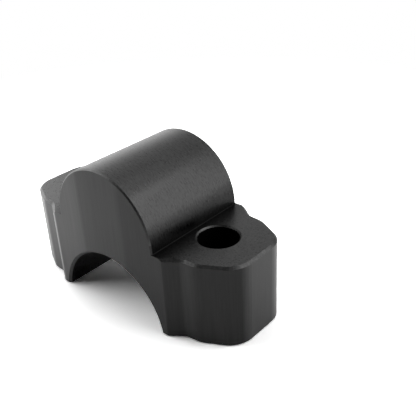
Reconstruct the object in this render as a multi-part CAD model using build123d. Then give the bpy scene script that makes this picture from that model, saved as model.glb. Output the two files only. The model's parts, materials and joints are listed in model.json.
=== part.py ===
from build123d import *
from math import hypot, sqrt
import os

# Handlebar riser for a motorcycle, milled from one block of aluminium.
# It stands on its two feet with the saddle for the bar underneath, as it is laid on a table.
# X runs across the two bolts, Y along the handlebar and Z up, from the middle of the ground.
# Every size is in millimetres.

# Handlebar and rise
bar_diameter = 28.6       # 1 1/8 inch handlebar, gripped in the saddle
rise = 20.2               # from the saddle axis up to the axis of the half-round boss
riser_width = 25.4        # between the two end faces, along the bar
saddle_drop = 2.0         # saddle axis below the feet, which leaves a gap to clamp the bar

# Half-round boss, which drops into the lower half of the old bar clamp
cup_clearance = 0.8       # all round, so that the ears and not the boss take the load
boss_lift = 0.2           # boss axis above the ears
root_fillet = 0.2         # left by the cutter where the boss meets an ear

# Bolt holes, right through both ears
bolt_hole_diameter = 8.4  # lets an M8 bolt through
bolt_wall = 0.7           # thinnest metal between a bolt hole and the bar

# Outline of one quarter of the block, seen from above
boss_land = 2.5           # flat of the end face outside the boss
shoulder_run = 2.9        # length across the bolts of the slope from end face to ear
shoulder_step = 2.1       # how far the slope brings the ear in from the end face
cheek_reach = 3.1         # bolt axis to the corner where the ear starts to narrow
cheek_taper = 0.3         # how far the ear has narrowed at that corner
nose_reach = 10.4         # bolt axis to the outer face of the ear
nose_width = 13.1         # outer face of the ear, before its corners are rounded
land_round = 0.6
neck_round = 1.8
cheek_round = 3.0
nose_round = 5.5

# Edge breaks, all at 45 degrees
ear_chamfer = 0.5         # round the top of the ears
saddle_chamfer = 0.5      # at both ends of the saddle
boss_chamfer = 0.3        # at both ends of the boss
hole_chamfer = 0.3        # at both mouths of a bolt hole
foot_chamfer = 0.25       # round the underside

# Sizes that follow from the ones above
saddle_radius = bar_diameter / 2
boss_radius = saddle_radius - cup_clearance
ear_height = rise - saddle_drop - boss_lift
boss_axis_height = ear_height + boss_lift
bolt_hole_radius = bolt_hole_diameter / 2
bolt_x = saddle_radius + bolt_wall + bolt_hole_radius
end_y = riser_width / 2

land_corner = (boss_radius + boss_land, end_y)
neck_corner = (land_corner[0] + shoulder_run, end_y - shoulder_step)
cheek_corner = (bolt_x + cheek_reach, neck_corner[1] - cheek_taper)
nose_corner = (bolt_x + nose_reach, nose_width / 2)
nose_middle = (nose_corner[0], 0)


def four_way_face(corners, rounds):
    """Face whose outline is one rounded quarter, from x = 0 to y = 0, and its mirror images."""
    with BuildSketch() as face:
        with BuildLine():
            FilletPolyline(*corners, radius=rounds)
            mirror(about=Plane.YZ)
            mirror(about=Plane.XZ)
        make_face()
    return face.sketch


def ear_contour():
    """The two ears milled as one long lozenge, with the chamfer round their top edge.

    The shoulder slopes run on to a ridge over the middle, where the end faces are cut later.
    """
    ridge_y = neck_corner[1] + neck_corner[0] * shoulder_step / shoulder_run
    face = four_way_face(
        [(0, ridge_y), neck_corner, cheek_corner, nose_corner, nose_middle],
        [neck_round, cheek_round, nose_round],
    )
    lozenge = extrude(face, ear_height)
    return chamfer(lozenge.faces().sort_by(Axis.Z)[-1].edges(), ear_chamfer)


def foot_block():
    """Block up to the top of the ears: end faces, shoulders and ears, broken edge below."""
    face = four_way_face(
        [(0, end_y), land_corner, neck_corner, cheek_corner, nose_corner, nose_middle],
        [land_round, neck_round, cheek_round, nose_round],
    )
    block = extrude(face, ear_height)
    return chamfer(block.faces().sort_by(Axis.Z)[0].edges(), foot_chamfer)


def half_round_boss():
    """Half-round boss over the full width, with the root fillets it stands in."""
    root_x = sqrt((boss_radius + root_fillet) ** 2 - (root_fillet - boss_lift) ** 2)
    # The fillet runs into the half-round on the line between their two centres.
    share = boss_radius / (boss_radius + root_fillet)
    touch = (root_x * share, boss_axis_height + (root_fillet - boss_lift) * share)
    left_touch = (-touch[0], touch[1])
    crown = (0, boss_axis_height + boss_radius)
    root_end = (root_x, ear_height)
    # Lowest-right point of the fillet's arc, halfway between its two ends.
    centre = (root_x, ear_height + root_fillet)
    toward = ((touch[0] + root_end[0]) / 2 - centre[0], (touch[1] + root_end[1]) / 2 - centre[1])
    reach = root_fillet / hypot(*toward)
    root_middle = (centre[0] + toward[0] * reach, centre[1] + toward[1] * reach)
    sunk = saddle_radius - saddle_drop

    with BuildSketch(Plane.XZ) as profile:
        with BuildLine():
            ThreePointArc(left_touch, crown, touch)
            ThreePointArc(touch, root_middle, root_end)
            Polyline(root_end, (root_x, sunk), (-root_x, sunk), (-root_x, ear_height))
            ThreePointArc((-root_x, ear_height), (-root_middle[0], root_middle[1]), left_touch)
        make_face()
    boss = extrude(profile.sketch, end_y, both=True)
    return chamfer(boss.edges().filter_by(GeomType.CIRCLE), boss_chamfer)


def turned_cutter(radius, half_length, flare):
    """Round cutter about the Z axis that opens both mouths of its hole at 45 degrees."""
    with BuildSketch(Plane.XZ) as profile:
        with BuildLine():
            Polyline(
                (0, -half_length),
                (radius + flare, -half_length),
                (radius, flare - half_length),
                (radius, half_length - flare),
                (radius + flare, half_length),
                (0, half_length),
                close=True,
            )
        make_face()
    return revolve(profile.sketch, Axis.Z)


def riser_block():
    """The whole riser: contour, boss, saddle and bolt holes."""
    body = (foot_block() & ear_contour()) + half_round_boss()
    saddle = turned_cutter(saddle_radius, end_y, saddle_chamfer)
    body -= Pos(0, 0, -saddle_drop) * Rot(X=90) * saddle
    bolt_hole = turned_cutter(bolt_hole_radius, ear_height / 2, hole_chamfer)
    for x in (-bolt_x, bolt_x):
        body -= Pos(x, 0, ear_height / 2) * bolt_hole
    return body.solid()


os.makedirs("parts", exist_ok=True)
export_step(riser_block(), "parts/riser_block.step")
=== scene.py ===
import json
from math import cos, pi, radians, sin

import bpy
from mathutils import Matrix, Vector


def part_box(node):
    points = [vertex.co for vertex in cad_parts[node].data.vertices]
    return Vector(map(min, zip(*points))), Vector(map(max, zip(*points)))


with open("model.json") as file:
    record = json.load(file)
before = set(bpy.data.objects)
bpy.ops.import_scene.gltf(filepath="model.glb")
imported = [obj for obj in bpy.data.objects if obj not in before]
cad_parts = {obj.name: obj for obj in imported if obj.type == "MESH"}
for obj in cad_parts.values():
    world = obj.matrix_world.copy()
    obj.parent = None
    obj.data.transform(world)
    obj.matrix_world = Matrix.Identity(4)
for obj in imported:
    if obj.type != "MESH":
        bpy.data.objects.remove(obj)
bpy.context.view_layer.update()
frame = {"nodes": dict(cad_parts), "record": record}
mm = 0.001


# The riser block
# One bar of aluminium, milled on every side and anodised black. It is laid on its two feet, saddle down.
# Its shape is the imported solid's own. What is made here is the satin film, the marks of the cutters, and
# the painted sheen, highlights and shade on its faces.

# Sizes of the block that the marks follow, from the frame
mounts = {mount["name"]: mount for mount in frame["record"]["mounts"]}
boss_axis_height = mounts["half_round_boss"]["pos_m"][2]
boss_radius = mounts["half_round_boss"]["dims"]["r_mm"] * mm
saddle_axis_height = mounts["bar_saddle"]["pos_m"][2]
saddle_radius = mounts["bar_saddle"]["dims"]["r_mm"] * mm
ear_height = mounts["right_ear_top"]["pos_m"][2]
half_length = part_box("riser_block")[1][0] + 0.4 * mm    # a little past the ends of the ears
radius_tolerance = 0.12 * mm       # for the flat facets of a round face

# What counts as an upright wall and as a level face, by the share of the normal that points up or down
most_for_wall = 0.1
least_for_level = 0.95

# The darkest and the lightest grey that the marks give the film, and how rough the satin is at each
film_dark = "#303030"
film_light = "#3d3d3d"
finest_satin = 0.26
coarsest_satin = 0.38

# Painted sheen on the upright walls, as shares of the film's tone: each band of wall is made lighter or
# darker for the light it reflects. The rows run from the left ear over the end faces to the right ear, each
# with its start, its end and its tone, and the tone runs over evenly from one row to the next. The narrow
# second row is a painted highlight down the edge between the left ear and the end face.
painted_wall_sheen = (
    (-30.0 * mm, -16.4 * mm, 2.5),
    (-16.2 * mm, -15.65 * mm, 8.0),
    (-15.4 * mm, -9.2 * mm, 2.1),
    (-7.3 * mm, -6.8 * mm, 1.85),
    (-6.0 * mm, -5.0 * mm, 1.25),
    (-1.0 * mm, 5.0 * mm, 1.1),
    (6.2 * mm, 15.8 * mm, 0.8),
    (16.4 * mm, 18.4 * mm, 0.66),
    (19.2 * mm, 20.6 * mm, 0.9),
    (22.0 * mm, 29.1 * mm, 0.67),
    (29.5 * mm, 30.0 * mm, 1.35),
)
# The brightest painted sheen, that of the painted highlight down the left corner
brightest_painted_sheen = 8.0

# The broken edges are rougher than the faces, and a painted highlight makes them a little lighter. Painted
# shade makes the film darkest in the corner between the boss and an ear, and it reaches the full tone a few
# millimetres away.
# Painted highlight on the broken edges, as a share of the film's tone
edge_painted_highlight = 1.6
edge_roughness = 0.5
# Painted shade in the fillet under the boss
fillet_painted_shade = 0.13
fillet_reach = 0.3 * mm            # a little more than the fillet's radius of 0.2 mm
# Painted shade near the corner between boss and ear, fading out over this reach
corner_painted_shade = 0.35
painted_shade_reach = 6.0 * mm

# The marks are about 0.1 mm apart on the real block. They are drawn three to four times as coarse,
# because finer ones don't show at this size.
wall_mark_spacing = 0.40 * mm      # left by the side of the end mill, upright on the walls
wall_mark_length = 12.0 * mm
wall_mark_depth = 0.008 * mm
wall_mark_contrast = 0.9
boss_mark_spacing = 0.28 * mm      # left by the form cutter, round the boss
boss_mark_length = 0.8 * mm
boss_mark_depth = 0.012 * mm
boss_mark_contrast = 2.9           # on top of the ears too


def linear(hex_colour):
    """Linear colour for Blender from an sRGB hex value."""
    channels = [int(hex_colour[i:i + 2], 16) / 255 for i in (1, 3, 5)]
    return [c / 12.92 if c <= 0.04045 else ((c + 0.055) / 1.055) ** 2.4 for c in channels] + [1]


def add_node(tree, kind, inputs=None, **settings):
    """Adds one node. Its inputs are values, sockets, or nodes whose first output in use is linked."""
    node = tree.nodes.new(kind)
    for name, value in settings.items():
        setattr(node, name, value)
    for key, value in (inputs or {}).items():
        if isinstance(value, bpy.types.Node):
            value = next(socket for socket in value.outputs if socket.enabled)
        if isinstance(value, bpy.types.NodeSocket):
            tree.links.new(value, node.inputs[key])
        else:
            node.inputs[key].default_value = value
    return node


# Black anodised aluminium, milled: nearly black where it faces the eye, grey towards grazing angles,
# with a soft satin sheen that the cutter marks break into fine streaks.
anodised = bpy.data.materials.new("black anodised aluminium, milled")
anodised.use_nodes = True
tree = anodised.node_tree
tree.nodes.clear()

place = add_node(tree, "ShaderNodeTexCoord")
at = add_node(tree, "ShaderNodeSeparateXYZ", {0: place.outputs["Object"]})
geometry = add_node(tree, "ShaderNodeNewGeometry")
facing = add_node(tree, "ShaderNodeSeparateXYZ", {0: geometry.outputs["True Normal"]})


def near_radius(axis_height, radius):
    """1 within reach of that radius about an axis along Y, else 0."""
    height = add_node(tree, "ShaderNodeMath", {0: at.outputs["Z"], 1: axis_height}, operation="SUBTRACT")
    across = add_node(tree, "ShaderNodeCombineXYZ", {"X": at.outputs["X"], "Y": height})
    reach = add_node(tree, "ShaderNodeVectorMath", {0: across}, operation="LENGTH")
    return add_node(
        tree, "ShaderNodeMath", {0: reach, 1: radius, 2: radius_tolerance}, operation="COMPARE"
    )


# Kinds of surface, each 1 where it is and 0 elsewhere: the boss and saddle, the fillet in the corner
# between boss and ear, the upright walls, the level faces, and the broken edges.
boss_or_saddle = add_node(
    tree, "ShaderNodeMath",
    {0: near_radius(boss_axis_height, boss_radius), 1: near_radius(saddle_axis_height, saddle_radius)},
    operation="MAXIMUM",
)
not_an_end = add_node(tree, "ShaderNodeMath", {0: facing.outputs["Y"], 1: 0.0, 2: 0.5}, operation="COMPARE")
rounded = add_node(tree, "ShaderNodeMath", {0: boss_or_saddle, 1: not_an_end}, operation="MULTIPLY")

beside = add_node(tree, "ShaderNodeMath", {0: at.outputs["X"]}, operation="ABSOLUTE")
from_boss = add_node(tree, "ShaderNodeMath", {0: beside, 1: boss_radius}, operation="SUBTRACT")
from_ear = add_node(tree, "ShaderNodeMath", {0: at.outputs["Z"], 1: ear_height}, operation="SUBTRACT")
across_corner = add_node(tree, "ShaderNodeCombineXYZ", {"X": from_boss, "Y": from_ear})
from_corner = add_node(tree, "ShaderNodeVectorMath", {0: across_corner}, operation="LENGTH").outputs["Value"]
in_corner = add_node(tree, "ShaderNodeMath", {0: from_corner, 1: fillet_reach}, operation="LESS_THAN")
fillet = add_node(tree, "ShaderNodeMath", {0: in_corner, 1: not_an_end}, operation="MULTIPLY")
rounded_or_fillet = add_node(tree, "ShaderNodeMath", {0: rounded, 1: fillet}, operation="MAXIMUM")

upright = add_node(
    tree, "ShaderNodeMath", {0: facing.outputs["Z"], 1: 0.0, 2: most_for_wall}, operation="COMPARE"
)
wall = add_node(
    tree, "ShaderNodeMath", {0: upright, 1: rounded_or_fillet}, operation="SUBTRACT", use_clamp=True
)

flatness = add_node(tree, "ShaderNodeMath", {0: facing.outputs["Z"]}, operation="ABSOLUTE")
level = add_node(tree, "ShaderNodeMath", {0: flatness, 1: least_for_level}, operation="GREATER_THAN")

wall_or_level = add_node(tree, "ShaderNodeMath", {0: wall, 1: level}, operation="MAXIMUM")
not_an_edge = add_node(tree, "ShaderNodeMath", {0: wall_or_level, 1: rounded_or_fillet}, operation="MAXIMUM")
edge = add_node(tree, "ShaderNodeMath", {0: 1.0, 1: not_an_edge}, operation="SUBTRACT")

# Marks round the boss lie close together along Y, and those on the walls along X and Y.
stretch = add_node(
    tree, "ShaderNodeMix",
    {
        "Factor": rounded,
        "A": (1 / wall_mark_spacing, 1 / wall_mark_spacing, 1 / wall_mark_length),
        "B": (1 / boss_mark_length, 1 / boss_mark_spacing, 1 / boss_mark_length),
    },
    data_type="VECTOR",
)
marks_at = add_node(
    tree, "ShaderNodeVectorMath", {0: place.outputs["Object"], 1: stretch}, operation="MULTIPLY"
)
marks = add_node(
    tree, "ShaderNodeTexNoise", {"Vector": marks_at, "Scale": 1.0, "Detail": 2.0, "Roughness": 0.6}
)

# Painted sheen of the upright walls, a tone for each band of wall along X
along = add_node(
    tree, "ShaderNodeMapRange",
    {"Value": at.outputs["X"], "From Min": -half_length, "From Max": half_length},
)
painted_sheen_shares = add_node(tree, "ShaderNodeValToRGB", {"Fac": along})
stops = painted_sheen_shares.color_ramp.elements
while len(stops) < 2 * len(painted_wall_sheen):
    stops.new(0.5)
for stop, (x, share) in zip(stops, [(x, row[2]) for row in painted_wall_sheen for x in row[:2]]):
    stop.position = (x + half_length) / (2 * half_length)
    stop.color = [share / brightest_painted_sheen] * 3 + [1]
tone = add_node(tree, "ShaderNodeMath", {0: painted_sheen_shares, 1: brightest_painted_sheen}, operation="MULTIPLY")

# Tone of everything else: painted shade that fades out away from the corner between boss and ear
not_a_wall = add_node(tree, "ShaderNodeMath", {0: 1.0, 1: wall}, operation="SUBTRACT")
tone_with_corner_shade = add_node(
    tree, "ShaderNodeMapRange",
    {"Value": from_corner, "From Max": painted_shade_reach, "To Min": corner_painted_shade, "To Max": 1.0},
    interpolation_type="SMOOTHSTEP",
)
# Painted shade towards the corner, a painted highlight on the broken edges, and painted shade in the fillet
for where, new_tone in ((not_a_wall, tone_with_corner_shade), (edge, edge_painted_highlight), (fillet, fillet_painted_shade)):
    tone = add_node(tree, "ShaderNodeMix", {"Factor": where, "A": tone, "B": new_tone})

# The cutter's marks show as lighter and darker streaks, more so round the boss and on top of the ears.
contrast = add_node(tree, "ShaderNodeMix", {"Factor": wall, "A": boss_mark_contrast, "B": wall_mark_contrast})
centred = add_node(tree, "ShaderNodeMath", {0: marks.outputs["Fac"], 1: 0.5}, operation="SUBTRACT")
streaks = add_node(tree, "ShaderNodeMath", {0: centred, 1: contrast, 2: 0.5}, operation="MULTIPLY_ADD")
film = add_node(
    tree, "ShaderNodeMix",
    {"Factor": streaks, "A": linear(film_dark), "B": linear(film_light)},
    data_type="RGBA",
)
shade = add_node(tree, "ShaderNodeVectorMath", {0: film, "Scale": tone}, operation="SCALE")
satin = add_node(
    tree, "ShaderNodeMapRange", {"Value": streaks, "To Min": finest_satin, "To Max": coarsest_satin}
)
roughness = add_node(tree, "ShaderNodeMix", {"Factor": edge, "A": satin, "B": edge_roughness})
mark_depth = add_node(tree, "ShaderNodeMix", {"Factor": rounded, "A": wall_mark_depth, "B": boss_mark_depth})
relief = add_node(tree, "ShaderNodeBump", {"Height": marks.outputs["Fac"], "Distance": mark_depth})
metal = add_node(
    tree, "ShaderNodeBsdfPrincipled",
    {"Base Color": shade, "Metallic": 1.0, "Roughness": roughness, "Normal": relief},
)
add_node(tree, "ShaderNodeOutputMaterial", {"Surface": metal})

block = frame["nodes"]["riser_block"]
for material_slot in block.material_slots:
    material_slot.material = anodised


# The table and its light
# A white sheet that runs past every edge of the picture, in a room that is white behind the block and dark
# at the camera's side. It shows as plain white, and keeps the soft shadow under the arch.
sheet_half = 1.2                   # metres
paper_white = 0.8
paper_seen = 1.55                  # of the light on it, which is less than what a photographer gives a table
fade_start = 0.07                  # metres from the middle of the block
fade_end = 0.18
wall_bearing = radians(165)        # of the room's bright wall, from +X
wall_brightness = 2.0
wall_falloff = 2.0                 # power of the cosine of the angle from that bearing
aim_height = 15 * mm               # where the softboxes point, about half the block's height
sheet_mesh = bpy.data.meshes.new("table_sheet")
sheet_mesh.from_pydata(
    [(x * sheet_half, y * sheet_half, 0) for x, y in ((-1, -1), (1, -1), (1, 1), (-1, 1))],
    [], [(0, 1, 2, 3)],
)
table_sheet = bpy.data.objects.new("table_sheet", sheet_mesh)
bpy.context.scene.collection.objects.link(table_sheet)

# White paper, matt: it only spreads light. The eye, and whatever mirrors it, gets it at full white.
paper = bpy.data.materials.new("white paper, matt")
paper.use_nodes = True
tree = paper.node_tree
tree.nodes.clear()
ray = add_node(tree, "ShaderNodeLightPath")
mirrored = add_node(
    tree, "ShaderNodeMath",
    {0: ray.outputs["Is Glossy Ray"], 1: ray.outputs["Is Transmission Ray"]}, operation="MAXIMUM",
)
seen = add_node(
    tree, "ShaderNodeMath",
    {0: ray.outputs["Is Camera Ray"], 1: paper_seen, 2: mirrored}, operation="MULTIPLY_ADD",
)
whiteness = add_node(tree, "ShaderNodeMath", {0: seen, 1: paper_white}, operation="MAXIMUM")
matt = add_node(tree, "ShaderNodeBsdfDiffuse", {"Color": whiteness})

# Away from the block the sheet goes over into the white of the room, so its far edge doesn't show.
spot = add_node(tree, "ShaderNodeTexCoord")
away = add_node(tree, "ShaderNodeVectorMath", {0: spot.outputs["Object"]}, operation="LENGTH")
far = add_node(
    tree, "ShaderNodeMapRange", {"Value": away, "From Min": fade_start, "From Max": fade_end},
    interpolation_type="SMOOTHSTEP",
)
straight_or_through = add_node(
    tree, "ShaderNodeMath",
    {0: ray.outputs["Is Camera Ray"], 1: ray.outputs["Is Transmission Ray"]}, operation="MAXIMUM",
)
fade = add_node(tree, "ShaderNodeMath", {0: far, 1: straight_or_through}, operation="MULTIPLY")
glow = add_node(tree, "ShaderNodeEmission", {"Color": (1, 1, 1, 1), "Strength": 1.0})
sheet = add_node(tree, "ShaderNodeMixShader", {0: fade, 1: matt, 2: glow})
add_node(tree, "ShaderNodeOutputMaterial", {"Surface": sheet})
sheet_mesh.materials.append(paper)

# The room: plain white to the eye, while the block is lit and mirrored by a wall that is bright at the back
# left and fades to dark at the camera's side.
world = bpy.data.worlds.new("white studio")
world.use_nodes = True
tree = world.node_tree
tree.nodes.clear()
ray = add_node(tree, "ShaderNodeLightPath")
towards = add_node(tree, "ShaderNodeTexCoord")
to_wall = add_node(
    tree, "ShaderNodeVectorMath",
    {0: towards.outputs["Generated"], 1: (cos(wall_bearing), sin(wall_bearing), 0)}, operation="DOT_PRODUCT",
)
this_side = add_node(tree, "ShaderNodeMath", {0: to_wall.outputs["Value"], 1: 0.0}, operation="MAXIMUM")
fading = add_node(tree, "ShaderNodeMath", {0: this_side, 1: wall_falloff}, operation="POWER")
wall_light = add_node(tree, "ShaderNodeMath", {0: fading, 1: wall_brightness}, operation="MULTIPLY")
straight_or_through = add_node(
    tree, "ShaderNodeMath",
    {0: ray.outputs["Is Camera Ray"], 1: ray.outputs["Is Transmission Ray"]}, operation="MAXIMUM",
)
strength = add_node(tree, "ShaderNodeMath", {0: wall_light, 1: straight_or_through}, operation="MAXIMUM")
air = add_node(tree, "ShaderNodeBackground", {"Color": (1, 1, 1, 1), "Strength": strength})
add_node(tree, "ShaderNodeOutputWorld", {"Surface": air})
bpy.context.scene.world = world


def softbox(name, bearing, height, distance, size, brightness):
    """Rectangular lamp that faces the block. Its bearing, counted from +X, and its height are in degrees."""
    lamp = bpy.data.lights.new(name, "AREA")
    lamp.shape, lamp.size, lamp.size_y = "RECTANGLE", size[0], size[1]
    lamp.energy = pi * size[0] * size[1] * brightness
    box = bpy.data.objects.new(name, lamp)
    around, up = radians(bearing), radians(height)
    outward = Vector((cos(around) * cos(up), sin(around) * cos(up), sin(up)))
    box.location = Vector((0, 0, aim_height)) + outward * distance
    box.rotation_euler = (-outward).to_track_quat("-Z", "Y").to_euler()
    bpy.context.scene.collection.objects.link(box)


# A large lamp on each side gives the sheen on the walls and the boss, and two above the back light its top.
softbox("left_softbox", 192, 28, 0.5, (0.7, 0.5), 3.25)
softbox("right_softbox", 28, 28, 0.5, (0.5, 0.5), 2.95)
softbox("back_left_softbox", 120, 60, 0.6, (0.4, 0.4), 0.95)
softbox("back_right_softbox", 60, 60, 0.6, (0.4, 0.4), 1.8)


# The camera
# It stands where the photograph's edges, fitted to the block's sizes, put it.
azimuth, elevation, roll = radians(41.632), radians(28.665), radians(-2.853)
distance, aside, above = 145.285 * mm, 11.833 * mm, 15.898 * mm
tilt = Matrix.Rotation(radians(90) - elevation, 4, "X")
turn = Matrix.Rotation(azimuth, 4, "Z") @ tilt @ Matrix.Rotation(roll, 4, "Z")
lens = bpy.data.cameras.new("camera")
lens.sensor_width, lens.lens = 36.0, 56.018
lens.clip_start, lens.clip_end = 0.01, 10
camera = bpy.data.objects.new("camera", lens)
camera.matrix_world = Matrix.Translation(turn @ Vector((aside, above, distance))) @ turn
bpy.context.scene.collection.objects.link(camera)
bpy.context.scene.camera = camera

bpy.context.scene.view_settings.view_transform = "Standard"
